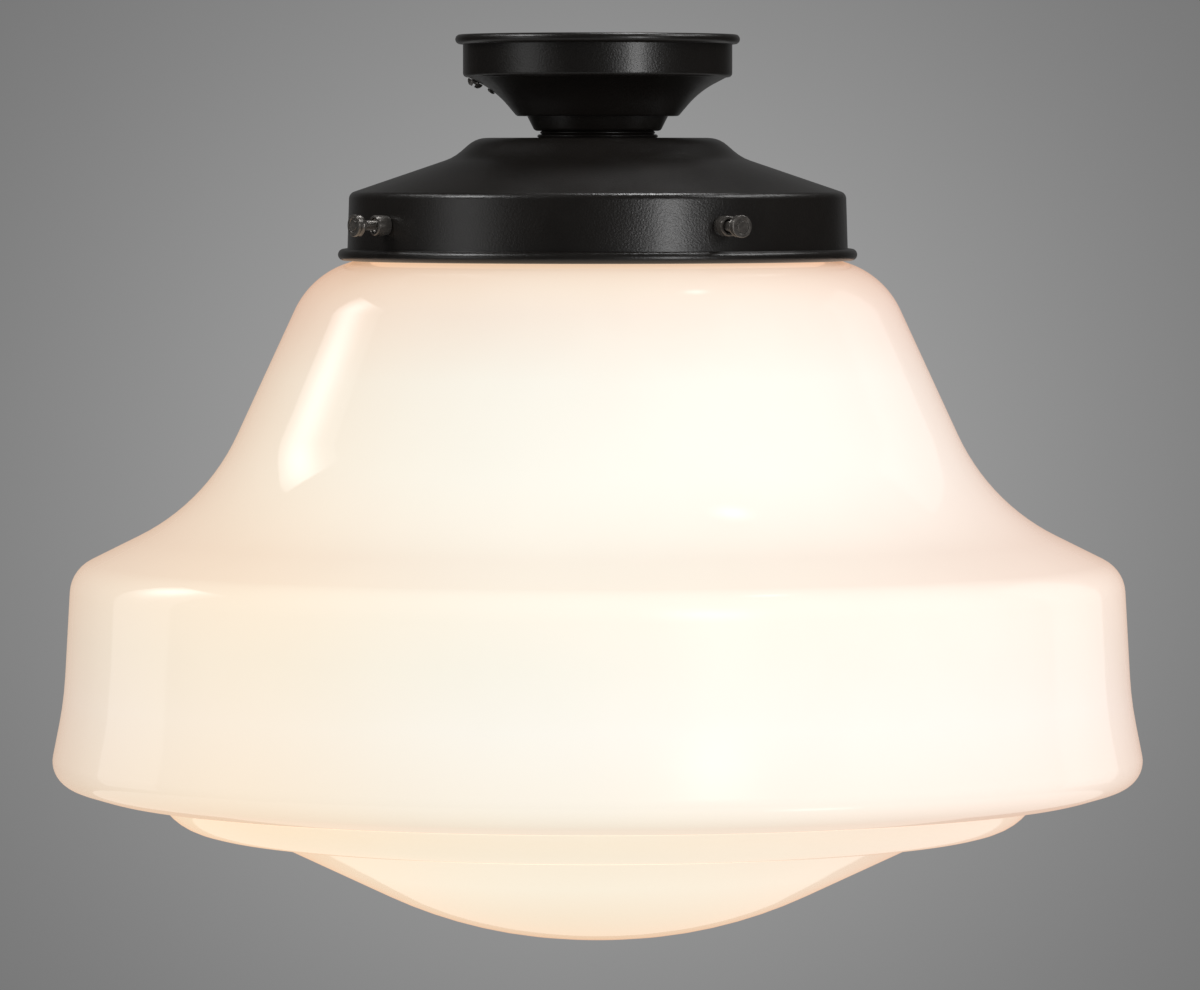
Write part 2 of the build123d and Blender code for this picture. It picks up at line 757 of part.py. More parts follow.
# ---- Lamp ----

def lamp_base():
    """Aluminium screw base: cone at the top, rolled thread and a plain skirt."""
    points = thread_path(base_root, thread_depth, lamp_thread_top, lamp_thread_count, thread_pitch)
    outer = [(lamp_button_radius + lamp_cone_rim, lamp_top - lamp_button_height)] + points
    outer.append((lamp_thread_radius, lamp_thread_foot))
    outer.append((lamp_thread_radius, lamp_shell_foot))
    inner = [(base_bore, lamp_shell_foot), (base_bore, lamp_thread_top - shell_sheet),
             (lamp_button_radius + lamp_cone_rim / 2, lamp_top - lamp_button_height - shell_sheet)]
    return turned(outline(*outer, *inner))


def lamp_insulator():
    """Black glass between the base and its centre contact."""
    top = lamp_top - lamp_button_height
    foot = lamp_thread_top - lamp_insulator_depth
    rim = base_bore - thread_fit
    return turned(outline((0, top), (lamp_button_radius + lamp_cone_rim / 2 - thread_fit, top - shell_sheet),
                          (rim, lamp_thread_top - shell_sheet - thread_fit), (rim, foot), (0, foot)))


def lamp_contact():
    """Low button at the end of the lamp's base."""
    foot = lamp_top - lamp_button_height
    return turned(outline((0, foot), (lamp_button_radius, foot),
                          (lamp_button_radius - lamp_button_crown, foot + lamp_button_edge),
                          (lamp_button_radius * 2 / 3, lamp_top - lamp_button_crown),
                          (lamp_button_radius / 3, lamp_top), (0, lamp_top)))


def lamp_envelope():
    """Pear-shaped glass envelope, cemented into the base."""
    in_base = base_bore - thread_fit
    angle = math.radians(lamp_shoulder_angle)
    middle = lamp_foot + lamp_bulb_radius
    across = lamp_bulb_radius * math.cos(angle)
    join = (across, middle + lamp_bulb_radius * math.sin(angle))
    mouth = (in_base, lamp_shell_foot - thread_fit)
    neck = (lamp_neck_radius, lamp_shell_foot - lamp_neck_drop)
    path = [Line((in_base, lamp_thread_foot + thread_pitch), mouth),
            Spline([mouth, neck, join], tangents=[(0, -1), (math.sin(angle), -math.cos(angle))]),
            CenterArc((0, middle), lamp_bulb_radius, lamp_shoulder_angle, -lamp_shoulder_angle - 90)]
    return turned(sheet_outline(path, -lamp_glass))


def lamp_stem():
    """Glass stem inside the envelope, standing on its flared foot."""
    foot = lamp_shell_foot
    flare = base_bore - lamp_glass - 2 * thread_fit
    return turned(outline((0, foot), (flare, foot), (flare, foot - lamp_stem_foot),
                          (lamp_stem_radius, foot - lamp_stem_taper),
                          (lamp_stem_top_radius, foot - lamp_stem_height), (0, foot - lamp_stem_height)))


def lamp_filaments():
    """Filament sticks that hang in a ring from a disc on the stem."""
    top = lamp_shell_foot - lamp_stem_height
    disc_foot = top - filament_radius
    sticks = around(Pos(filament_circle, 0, 0) * rod(filament_radius, top, top - filament_length),
                    filament_count, 0)
    return disc(filament_circle + 2 * filament_radius, top, disc_foot) + sticks


# ---- Build ----

os.makedirs("parts", exist_ok=True)

save(canopy(), "canopy")
save(canopy_screw(), "canopy_screw")
save(canopy_nut(), "canopy_nut")
save(canopy_rivet(), "canopy_rivet")
save(crossbar(), "crossbar")
save(ground_screw(), "ground_screw")
save(nipple(), "threaded_nipple")
save(crossbar_locknut(), "crossbar_locknut")
save(neck_cup(), "neck_cup")
save(neck_ring(), "neck_ring")
save(holder(), "shade_holder")
save(holder_washer(), "holder_spring_washer")
save(holder_nut(), "holder_nut")
save(at_screws(boss()), "screw_bosses")
for place, screw in zip(screw_angles, at_screws(thumbscrew())):
    save(screw, f"thumbscrew_{place}")
save(glass_shade(), "glass_shade")
save(socket_locknut(), "socket_locknut")
save(socket_cap(), "socket_cap")
save(socket_body(), "socket_porcelain")
save(terminal_screws(), "terminal_screws")
save(cap_screws(), "cap_screws")
save(screw_shell(), "socket_screw_shell")
save(centre_contact(), "socket_centre_contact")
save(lamp_base(), "lamp_base")
save(lamp_insulator(), "lamp_insulator")
save(lamp_contact(), "lamp_contact")
save(lamp_envelope(), "lamp_envelope")
save(lamp_stem(), "lamp_stem")
save(lamp_filaments(), "lamp_filaments")
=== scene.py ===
import json
import math

import bpy
from mathutils import Matrix, Vector


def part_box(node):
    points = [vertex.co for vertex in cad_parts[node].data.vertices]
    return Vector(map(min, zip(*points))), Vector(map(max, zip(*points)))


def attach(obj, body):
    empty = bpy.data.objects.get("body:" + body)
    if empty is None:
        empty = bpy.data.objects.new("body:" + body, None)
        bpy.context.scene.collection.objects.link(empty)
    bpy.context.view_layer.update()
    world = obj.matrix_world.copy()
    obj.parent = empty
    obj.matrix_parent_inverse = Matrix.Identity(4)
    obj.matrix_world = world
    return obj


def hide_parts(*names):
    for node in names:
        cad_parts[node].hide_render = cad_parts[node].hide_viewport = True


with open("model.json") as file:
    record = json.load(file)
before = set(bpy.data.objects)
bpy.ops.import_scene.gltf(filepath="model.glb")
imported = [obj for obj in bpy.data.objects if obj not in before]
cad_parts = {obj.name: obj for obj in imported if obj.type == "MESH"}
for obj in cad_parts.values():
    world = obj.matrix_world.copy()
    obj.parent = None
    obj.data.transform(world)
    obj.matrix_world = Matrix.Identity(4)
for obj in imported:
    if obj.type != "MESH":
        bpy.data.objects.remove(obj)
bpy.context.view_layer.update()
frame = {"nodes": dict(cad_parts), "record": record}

record = frame["record"]
nodes = frame["nodes"]

# A semi-flush ceiling light with an opal glass shade, seen a little from above.
# Metres. Z = 0 is the ceiling plane and the light hangs along -Z; the camera stands on -Y.

MM = 0.001


# ---- Sizes ----

def mm(*values):
    """Millimetres as metres: one number, or a tuple of them."""
    metres = tuple(value * MM for value in values)
    return metres if len(metres) > 1 else metres[0]


screw_angles = {"thumbscrew_back_right": 34, "thumbscrew_back_left": 119,
                "thumbscrew_front_left": 214, "thumbscrew_front_right": 299}

canopy_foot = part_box("canopy")[0].z
ring_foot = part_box("neck_ring")[0].z
ring_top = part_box("neck_ring")[1].z
holder_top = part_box("shade_holder")[1].z
shade_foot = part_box("glass_shade")[0].z
shade_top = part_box("glass_shade")[1].z
screw_level = (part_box("thumbscrew_front_left")[0].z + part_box("thumbscrew_front_left")[1].z) / 2

bore_radius = mm(5.35)

# Spun canopy
canopy_sheet = mm(0.9)
canopy_radius = mm(56.4)
canopy_ledge = mm(-17.9)
rim_bead_radius = mm(2.05)
rim_bead_level = mm(0.05) - rim_bead_radius
curl_sweep = math.radians(290)

# Holder
holder_sheet = mm(1.0)
holder_waist_drop = mm(8.2)
holder_shoulder_radius = mm(104.1)
holder_shoulder_drop = mm(23.2)
skirt_foot_radius = mm(104.9)
skirt_bead_radius = mm(2.45)
skirt_bead_level = screw_level - mm(12.8)

# Thumbscrews, along their own axis: tip, thread, taper, knurl, rim and grooved face
screw_tip = mm(98.7)
screw_radius = mm(2.085)
screw_pitch = mm(0.794)
head_start = mm(115.23)
head_taper = mm(2.5)
knurl_length = mm(2.0)
knurl_radius = mm(4.4)
knurl_rows = 5
knurl_teeth = 48
head_rim = mm(1.2)
head_radius = mm(4.6)

# Meshes
weld_distance = mm(0.002)
spun_crease = math.radians(32)
hardware_crease = math.radians(38)
bevel_crease = math.radians(40)
curl_steps = 24
large_arc_radius = mm(30)
large_arc_step = math.radians(3)
small_arc_step = math.radians(9)

# Glass
glass_wall = mm(4.0)
glass_neck_radius = mm(98.4)
glass_lip_radius = mm(99.8)
glass_lip_height = mm(5.0)
glass_throat = skirt_bead_level - skirt_bead_radius + mm(1.0)


# ---- Shader tools ----

class Wire:
    """A shader socket that adds Math nodes when it takes part in a sum."""

    def __init__(self, finish, socket):
        self.finish = finish
        self.socket = socket

    def sum(self, operation, first, second=None):
        inputs = [first] if second is None else [first, second]
        return self.finish.node("ShaderNodeMath", {"operation": operation}, *inputs)

    def __add__(self, other):
        return self.sum("ADD", self, other)

    def __sub__(self, other):
        return self.sum("SUBTRACT", self, other)

    def __rsub__(self, other):
        return self.sum("SUBTRACT", other, self)

    def __mul__(self, other):
        return self.sum("MULTIPLY", self, other)

    def __truediv__(self, other):
        return self.sum("DIVIDE", self, other)

    def __pow__(self, other):
        return self.sum("POWER", self, other)

    def __rpow__(self, other):
        return self.sum("POWER", other, self)

    __radd__ = __add__
    __rmul__ = __mul__

    def clamped(self):
        return self.finish.node("ShaderNodeMath", {"operation": "ADD", "use_clamp": True}, self, 0)


class Nodes:
    """A node tree in the making."""

    def __init__(self, tree):
        self.tree = tree

    def feed(self, socket, value):
        """Links a wire to a socket, or writes a plain value on it."""
        if isinstance(value, Wire):
            self.tree.links.new(value.socket, socket)
        else:
            plain = getattr(socket, "default_value", None)
            wants_alpha = hasattr(plain, "__len__") and len(plain) == 4 and len(value) == 3
            socket.default_value = (*value, 1) if wants_alpha else value

    def node(self, kind, settings=None, *inputs, output=None, **named):
        """Adds a node: its settings first, then its sockets in order or by name."""
        made = self.tree.nodes.new(kind)
        for key, value in (settings or {}).items():
            if key == "stops":
                self.set_stops(made.color_ramp, value)
            else:
                setattr(made, key, value)
        for number, value in enumerate(inputs):
            self.feed(made.inputs[number], value)
        for key, value in named.items():
            self.feed(made.inputs[key.replace("_", " ")], value)
        return Wire(self, made.outputs[output] if output else made.outputs[0])

    def set_stops(self, ramp, stops):
        while len(ramp.elements) < len(stops):
            ramp.elements.new(0.5)
        for element, (position, colour) in zip(ramp.elements, stops):
            element.position = position
            element.color = (*colour, 1)

    def mixed(self, share, first, second, blend="MIX"):
        """Colour between two colours, or the first blended with the second."""
        made = self.tree.nodes.new("ShaderNodeMix")
        made.data_type = "RGBA"
        made.blend_type = blend
        self.feed(made.inputs[0], share)
        self.feed(made.inputs[6], first)
        self.feed(made.inputs[7], second)
        return Wire(self, made.outputs[2])

    def ramp(self, value, stops):
        return self.node("ShaderNodeValToRGB", {"stops": stops}, value)

    def apart(self, vector):
        """The three parts of a vector."""
        parts = self.node("ShaderNodeSeparateXYZ", None, vector)
        return [Wire(self, socket) for socket in parts.socket.node.outputs]


class Finish(Nodes):
    """A procedural material with one Principled shader."""

    def __init__(self, name, **settings):
        self.material = bpy.data.materials.new(name)
        self.material.use_nodes = True
        super().__init__(self.material.node_tree)
        self.shader = self.tree.nodes["Principled BSDF"]
        for key, value in settings.items():
            self.set(key.replace("_", " ").title().replace("Ior", "IOR"), value)
        self.place = self.node("ShaderNodeTexCoord", output="Object")

    def set(self, name, value):
        """Feeds one input of the Principled shader."""
        self.feed(self.shader.inputs[name], value)

    def noise(self, per_metre, detail=2.0, stretch=(1, 1, 1), roughness=0.5):
        """Noise in object space, from 0 to 1, drawn out along an axis by a small stretch."""
        place = self.node("ShaderNodeMapping", {"vector_type": "POINT"},
                          Vector=self.place, Scale=stretch)
        return self.node("ShaderNodeTexNoise", None, output="Fac", Vector=place, Scale=per_metre,
                         Detail=detail, Roughness=roughness)

    def bumped(self, height, depth):
        """Relief of the given depth in metres."""
        relief = self.node("ShaderNodeBump", None, Height=height, Distance=depth, Strength=1.0)
        self.set("Normal", relief)


# ---- Finishes ----

def black_enamel():
    """Satin black baked enamel with a fine orange peel, on spun steel."""
    paint = Finish("black_enamel", specular_ior_level=0.5, coat_roughness=0.16)
    peel = paint.noise(1250, detail=1.5)
    cloud = paint.noise(38, detail=3)
    dust = paint.noise(190, detail=5, roughness=0.7)
    paint.set("Base Color", paint.mixed(cloud, (0.0045, 0.0037, 0.0031), (0.0092, 0.0076, 0.0064)))
    paint.set("Roughness", 0.25 + 0.07 * cloud + 0.05 * peel + 0.05 * dust)
    paint.set("Coat Weight", 0.10 + 0.10 * cloud)
    paint.bumped(peel, mm(0.10))
    return paint.material


def black_plating():
    """Black zinc on turned steel, rubbed a little where fingers hold it."""
    plating = Finish("black_plating", metallic=0.6, specular_ior_level=0.7)
    wear = plating.noise(420, detail=4, roughness=0.65)
    turning = plating.noise(5200, detail=1)
    plating.set("Base Color", plating.mixed(wear ** 2, (0.05, 0.046, 0.042), (0.26, 0.24, 0.22)))
    plating.set("Roughness", 0.17 + 0.16 * wear)
    plating.bumped(turning, mm(0.006))
    return plating.material


def zinc_plate():
    """Bright zinc plate, a little blue in places and yellow in others."""
    zinc = Finish("zinc_plate", metallic=1.0)
    cloud = zinc.noise(90, detail=4)
    grain = zinc.noise(900, detail=3, stretch=(1, 0.12, 1))
    zinc.set("Base Color", zinc.mixed(cloud, (0.50, 0.52, 0.56), (0.66, 0.64, 0.56)))
    zinc.set("Roughness", 0.28 + 0.22 * grain)
    zinc.bumped(grain, mm(0.01))
    return zinc.material


def green_zinc():
    """Green dyed zinc of a ground screw."""
    dye = Finish("green_zinc", metallic=0.75)
    cloud = dye.noise(600, detail=3)
    dye.set("Base Color", dye.mixed(cloud, (0.015, 0.14, 0.045), (0.05, 0.30, 0.11)))
    dye.set("Roughness", 0.30 + 0.15 * cloud)
    return dye.material


# Light that the glass lets through from its lamp, from the lip down to the bottom of the dome
glow_by_depth = [(0.08, (0.72, 0.56, 0.40)), (0.15, (0.69, 0.58, 0.47)), (0.24, (0.71, 0.68, 0.59)),
                 (0.36, (0.73, 0.71, 0.62)), (0.50, (0.76, 0.70, 0.58)), (0.59, (0.72, 0.69, 0.59)),
                 (0.67, (0.73, 0.70, 0.62)), (0.76, (0.72, 0.66, 0.55)), (0.82, (0.75, 0.64, 0.48)),
                 (0.90, (0.76, 0.68, 0.53)), (1.00, (0.72, 0.54, 0.35))]
dome_depth = 0.82
askew_tint = (0.71, 0.52, 0.43)
dome_edge_tint = (0.98, 0.70, 0.55)
# Painted light: tints that make the glow warmer on the left side and pinker on the right
left_painted_glow_tint = (1.06, 0.96, 0.86)
right_painted_glow_tint = (0.98, 0.885, 0.895)


def opal_glass():
    """Glossy opal glass lit from within by a lamp on its axis, dimmer and warmer where it is seen askew.

    Painted light: its glow is warmer on the left side and pinker on the right.
    """
    glass = Finish("opal_glass", ior=1.5)
    across, _, height = glass.apart(glass.place)
    depth = (shade_top - height) / (shade_top - shade_foot)
    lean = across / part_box("glass_shade")[1].x
    askew = glass.node("ShaderNodeLayerWeight", None, Blend=0.5, output="Facing")
    waves = glass.noise(26, detail=2)
    seeds = glass.noise(240, detail=1)
    light = glass.ramp(depth + 0.012 * (waves - 0.5), glow_by_depth)
    above_dome = ((dome_depth - depth) / 0.06).clamped()
    light = glass.mixed(askew ** 2 * above_dome, light, askew_tint, "MULTIPLY")
    light = glass.mixed(askew ** 8 * (1 - above_dome), light, dome_edge_tint, "MULTIPLY")
    # Painted light: the glow made warmer on the left side and pinker on the right
    light = glass.mixed(math.e ** (((lean + 0.65) / 0.32) ** 2 * -1), light, left_painted_glow_tint, "MULTIPLY")
    light = glass.mixed(math.e ** (((lean - 0.75) / 0.45) ** 2 * -1), light, right_painted_glow_tint, "MULTIPLY")
    glass.set("Base Color", glass.mixed(waves, (0.335, 0.330, 0.322), (0.365, 0.360, 0.352)))
    glass.set("Emission Color", light)
    glass.set("Emission Strength", 1.0)
    glass.set("Roughness", 0.035 + 0.03 * seeds)
    glass.bumped(waves, mm(0.15))
    return glass.material


def glazed_porcelain():
    glaze = Finish("glazed_porcelain", specular_ior_level=0.6)
    cloud = glaze.noise(160, detail=3)
    glaze.set("Base Color", glaze.mixed(cloud, (0.78, 0.76, 0.70), (0.86, 0.85, 0.81)))
    glaze.set("Roughness", 0.12 + 0.10 * cloud)
    glaze.bumped(cloud, mm(0.06))
    return glaze.material


def rolled_brass():
    brass = Finish("rolled_brass", metallic=1.0)
    grain = brass.noise(700, detail=3, stretch=(1, 1, 0.15))
    brass.set("Base Color", brass.mixed(grain, (0.62, 0.42, 0.15), (0.80, 0.62, 0.30)))
    brass.set("Roughness", 0.24 + 0.22 * grain)
    brass.bumped(grain, mm(0.01))
    return brass.material


def rolled_aluminium():
    metal = Finish("rolled_aluminium", metallic=1.0)
    grain = metal.noise(900, detail=3, stretch=(0.2, 0.2, 1))
    metal.set("Base Color", metal.mixed(grain, (0.66, 0.66, 0.67), (0.80, 0.80, 0.81)))
    metal.set("Roughness", 0.26 + 0.20 * grain)
    metal.bumped(grain, mm(0.008))
    return metal.material


def black_vitrite():
    vitrite = Finish("black_vitrite", specular_ior_level=0.6)
    cloud = vitrite.noise(500, detail=2)
    vitrite.set("Base Color", vitrite.mixed(cloud, (0.012, 0.008, 0.018), (0.03, 0.02, 0.04)))
    vitrite.set("Roughness", 0.12 + 0.12 * cloud)
    return vitrite.material


def dull_solder():
    solder = Finish("dull_solder", metallic=1.0)
    cloud = solder.noise(900, detail=4)
    solder.set("Base Color", solder.mixed(cloud, (0.36, 0.36, 0.36), (0.58, 0.58, 0.57)))
    solder.set("Roughness", 0.36 + 0.24 * cloud)
    solder.bumped(cloud, mm(0.05))
    return solder.material


def frosted_glass():
    """Lamp's envelope: frosted on the inside, glowing."""
    frost = Finish("frosted_glass", ior=1.5)
    cloud = frost.noise(60, detail=3)
    frost.set("Base Color", frost.mixed(cloud, (0.72, 0.70, 0.66), (0.80, 0.79, 0.76)))
    frost.set("Roughness", 0.20 + 0.15 * cloud)
    frost.set("Emission Color", frost.mixed(cloud, (1.0, 0.84, 0.62), (1.0, 0.90, 0.72)))
    frost.set("Emission Strength", 0.6)
    return frost.material


def clear_glass():
    clear = Finish("clear_glass", ior=1.5)
    cloud = clear.noise(120, detail=2)
    clear.set("Base Color", clear.mixed(cloud, (0.80, 0.84, 0.83), (0.88, 0.90, 0.90)))
    clear.set("Roughness", 0.05 + 0.05 * cloud)
    clear.set("Alpha", 0.35)
    return clear.material


def phosphor_coat():
    coat = Finish("phosphor_coat")
    grain = coat.noise(2500, detail=3)
    coat.set("Base Color", coat.mixed(grain, (0.80, 0.52, 0.10), (0.92, 0.70, 0.22)))
    coat.set("Roughness", 0.55 + 0.2 * grain)
    coat.set("Emission Color", coat.mixed(grain, (1.0, 0.70, 0.35), (1.0, 0.82, 0.50)))
    coat.set("Emission Strength", 0.8)
    return coat.material


finishes = {"dark_metal": black_enamel(), "dark_hardware": black_plating(), "zinc_steel": zinc_plate(),
            "green_screw": green_zinc(), "opal_glass": opal_glass(), "porcelain": glazed_porcelain(),
            "brass": rolled_brass(), "aluminium": rolled_aluminium(), "black_glass": black_vitrite(),
            "solder": dull_solder(), "frosted_glass": frosted_glass(), "clear_glass": clear_glass(),
            "filament": phosphor_coat()}
slot_of = {part["node"]: part["material_slot"] for part in record["subparts"]}
body_of = {node: body for body, held in record["behaviour"]["bodies"].items() for node in held}


# ---- Modelling tools ----

def deselect():
    bpy.ops.object.select_all(action="DESELECT")


def take(piece):
    """Makes a piece the only selected and active one."""
    deselect()
    piece.select_set(True)
    bpy.context.view_layer.objects.active = piece


def rounded(corners):
    """Points of an outline of (radius, height, turn) corners, each turn an arc tangent to both sides."""
    points = [Vector(corners[0][:2])]
    for before, corner, after in zip(corners, corners[1:], corners[2:]):
        here = Vector(corner[:2])
        back = (Vector(before[:2]) - here).normalized()
        on = (Vector(after[:2]) - here).normalized()
        turn = corner[2]
        if turn == 0:
            points.append(here)
            continue
        half = back.angle(on) / 2
        start = here + back * turn / math.tan(half)
        centre = here + (back + on).normalized() * turn / math.sin(half)
        arm = start - centre
        sweep = math.pi - 2 * half
        if back.x * on.y - back.y * on.x > 0:
            sweep = -sweep
        steps = max(3, math.ceil(abs(sweep) / arc_step(turn)))
        for step in range(steps + 1):
            points.append(centre + Matrix.Rotation(sweep * step / steps, 2) @ arm)
    points.append(Vector(corners[-1][:2]))
    return points


def arc_step(radius):
    """Angle between points of an arc: finer on a large one."""
    return large_arc_step if radius > large_arc_radius else small_arc_step


def curl(centre, radius, start, sweep):
    """Points of a rolled edge about its centre."""
    angles = [start + sweep * step / curl_steps for step in range(1, curl_steps + 1)]
    return [centre + radius * Vector((math.cos(angle), math.sin(angle))) for angle in angles]


def sheet(path, thickness):
    """Closed outline between a path and its copy moved to the left."""
    moved = []
    for number, point in enumerate(path):
        before = path[max(number - 1, 0)]
        after = path[min(number + 1, len(path) - 1)]
        first = (point - before).normalized() if number else (after - point).normalized()
        second = (after - point).normalized() if number < len(path) - 1 else first
        left = Vector((-(first + second).y, (first + second).x)).normalized()
        stretch = max(left.dot(Vector((-first.y, first.x))), 0.3)
        moved.append(point + left * thickness / stretch)
    return path + moved[::-1]


def drawn(name, outline, closed):
    """Edges through the points of an outline, extruded one after another from one vertex."""
    deselect()
    bpy.ops.mesh.primitive_plane_add(size=MM, location=(outline[0].x, 0, outline[0].y))
    piece = bpy.context.active_object
    piece.name = name
    piece.data.name = name
    bpy.ops.object.transform_apply(location=True, rotation=True, scale=True)
    bpy.ops.object.mode_set(mode="EDIT")
    bpy.ops.mesh.select_all(action="SELECT")
    bpy.ops.mesh.merge(type="CENTER")
    path = outline + [outline[0]] if closed else outline
    for here, there in zip(path, path[1:]):
        step = there - here
        bpy.ops.mesh.extrude_region_move(TRANSFORM_OT_translate={"value": (step.x, 0, step.y)})
    return piece


def spun(name, outline, steps=192, closed=True):
    """Piece turned about the light's axis from its outline, left in object mode."""
    piece = drawn(name, outline, closed)
    bpy.ops.mesh.select_all(action="SELECT")
    bpy.ops.mesh.remove_doubles(threshold=weld_distance)
    bpy.ops.mesh.spin(steps=steps, angle=2 * math.pi, center=(0, 0, 0), axis=(0, 0, 1))
    bpy.ops.mesh.select_all(action="SELECT")
    bpy.ops.mesh.remove_doubles(threshold=weld_distance)
    bpy.ops.mesh.normals_make_consistent(inside=False)
    bpy.ops.object.mode_set(mode="OBJECT")
    take(piece)
    bpy.ops.object.shade_smooth_by_angle(angle=spun_crease)
    return piece


def threaded(name, root, crest, pitch, foot, top, steps):
    """Closed rod about Z with a right-handed thread, cut square at both ends."""
    turns = math.ceil((top - foot) / pitch) + 2
    start = foot - pitch
    flank = [Vector((root, start)), Vector((crest, start + 0.42 * pitch)),
             Vector((crest, start + 0.58 * pitch)), Vector((root, start + pitch))]
    piece = drawn(name, flank, False)
    bpy.ops.object.mode_set(mode="OBJECT")
    screw = piece.modifiers.new("thread", "SCREW")
    screw.angle = 2 * math.pi
    screw.screw_offset = pitch
    screw.iterations = turns
    screw.steps = steps
    screw.render_steps = steps
    screw.use_merge_vertices = True
    screw.merge_threshold = weld_distance
    bpy.ops.object.modifier_apply(modifier=screw.name)
    bpy.ops.object.mode_set(mode="EDIT")
    bpy.ops.mesh.select_all(action="SELECT")
    bpy.ops.mesh.remove_doubles(threshold=weld_distance)
    for level, clear_outer in ((foot, False), (top, True)):
        bpy.ops.mesh.select_all(action="SELECT")
        bpy.ops.mesh.bisect(plane_co=(0, 0, level), plane_no=(0, 0, 1), use_fill=True,
                            clear_outer=clear_outer, clear_inner=not clear_outer)
    bpy.ops.mesh.select_all(action="SELECT")
    bpy.ops.mesh.normals_make_consistent(inside=False)
    bpy.ops.object.mode_set(mode="OBJECT")
    bpy.ops.object.shade_smooth_by_angle(angle=hardware_crease)
    return piece


def pick(piece, wanted):
    """Selects the vertices whose place is wanted, and goes into edit mode."""
    take(piece)
    bpy.ops.object.mode_set(mode="EDIT")
    bpy.ops.mesh.select_mode(type="VERT")
    bpy.ops.mesh.select_all(action="DESELECT")
    bpy.ops.object.mode_set(mode="OBJECT")
    for vertex in piece.data.vertices:
        vertex.select = wanted(vertex.co)
    bpy.ops.object.mode_set(mode="EDIT")


def joined(piece, *others):
    """One piece from several."""
    take(piece)
    for other in others:
        other.select_set(True)
    bpy.ops.object.join()
    return piece


def laid(piece, name, angle, level):
    """Copy of a piece made about Z, laid outwards along a direction at a level."""
    copy = bpy.data.objects.new(name, piece.data.copy())
    bpy.context.scene.collection.objects.link(copy)
    copy.rotation_euler = (0, math.pi / 2, math.radians(angle))
    copy.location = (0, 0, level)
    take(copy)
    bpy.ops.object.transform_apply(location=True, rotation=True, scale=True)
    return copy


def finish_piece(piece, *replaced):
    """Gives a piece the finish, slot and body of the node that it stands for."""
    node = replaced[0]
    piece.data.materials.clear()
    piece.data.materials.append(finishes[slot_of[node]])
    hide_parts(*replaced)
    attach(piece, body_of[node])
    return piece


def softened(node, width):
    """Copy of a CAD node with welded faces and its edges broken."""
    deselect()
    piece = bpy.data.objects.new("soft_" + node, nodes[node].data.copy())
    bpy.context.scene.collection.objects.link(piece)
    take(piece)
    bpy.ops.object.mode_set(mode="EDIT")
    bpy.ops.mesh.select_all(action="SELECT")
    bpy.ops.mesh.remove_doubles(threshold=weld_distance)
    bpy.ops.object.mode_set(mode="OBJECT")
    if width:
        bevel = piece.modifiers.new("broken_edges", "BEVEL")
        bevel.width = width
        bevel.segments = 2
        bevel.limit_method = "ANGLE"
        bevel.angle_limit = bevel_crease
        bevel.use_clamp_overlap = True
        bpy.ops.object.modifier_apply(modifier=bevel.name)
    bpy.ops.object.shade_smooth_by_angle(angle=hardware_crease)
    return finish_piece(piece, node)


# ---- Spun metal ----

def canopy_outline():
    foot = canopy_foot
    corners = [(bore_radius, foot, 0), (mm(33.9), foot, mm(1.8)),
               (mm(42.7), foot + mm(10.4), mm(38)), (mm(54.0), canopy_ledge, mm(0.5)),
               (canopy_radius, canopy_ledge, mm(1.8)), (canopy_radius, rim_bead_level, 0)]
    roll = rim_bead_radius - canopy_sheet
    centre = Vector((canopy_radius + roll, rim_bead_level))
    path = rounded(corners) + curl(centre, roll, math.pi, -curl_sweep)
    outline = sheet(path, canopy_sheet)
    return [Vector((point.x, min(point.y, 0))) for point in outline]


def cup_outline():
    corners = [(bore_radius, ring_top, 0), (mm(26.4), ring_top, mm(2)), (mm(29.5), canopy_foot, 0)]
    outline = sheet(rounded(corners), mm(1.2))
    return [Vector((point.x, min(point.y, canopy_foot))) for point in outline]


def ring_outline():
    """Two beads over each other, with a groove between them."""
    half = (ring_top - ring_foot) / 2
    points = [Vector((bore_radius, ring_foot))]
    for level, radius in ((ring_foot, mm(25.3)), (ring_foot + half, mm(24.1))):
        steps = 10
        for step in range(steps + 1):
            share = step / steps
            bulge = math.sin(math.pi * share) * mm(0.667)
            points.append(Vector((radius - mm(0.667) + bulge, level + half * share)))
    points.append(Vector((mm(18), ring_top)))
    points.append(Vector((mm(18), ring_top - mm(1.4))))
    points.append(Vector((bore_radius, ring_top - mm(1.4))))
    return points


def holder_outline():
    shoulder = holder_top - holder_shoulder_drop
    corners = [(bore_radius, holder_top, 0), (mm(50.8), holder_top, mm(12)),
               (mm(60.2), holder_top - holder_waist_drop, mm(20)),
               (holder_shoulder_radius, shoulder, mm(3.2)),
               (skirt_foot_radius, skirt_bead_level, 0)]
    path = rounded(corners)
    down = (path[-1] - path[-2]).normalized()
    left = Vector((-down.y, down.x))
    roll = skirt_bead_radius - holder_sheet
    centre = path[-1] + left * roll
    start = math.atan2(-left.y, -left.x)
    return sheet(path + curl(centre, roll, start, curl_sweep), -holder_sheet)


finish_piece(spun("spun_canopy", canopy_outline()), "canopy")
finish_piece(spun("neck_cup_shell", cup_outline(), steps=128), "neck_cup")
finish_piece(spun("beaded_ring", ring_outline(), steps=128), "neck_ring")
finish_piece(spun("spun_holder", holder_outline()), "shade_holder")


# ---- Glass shade ----

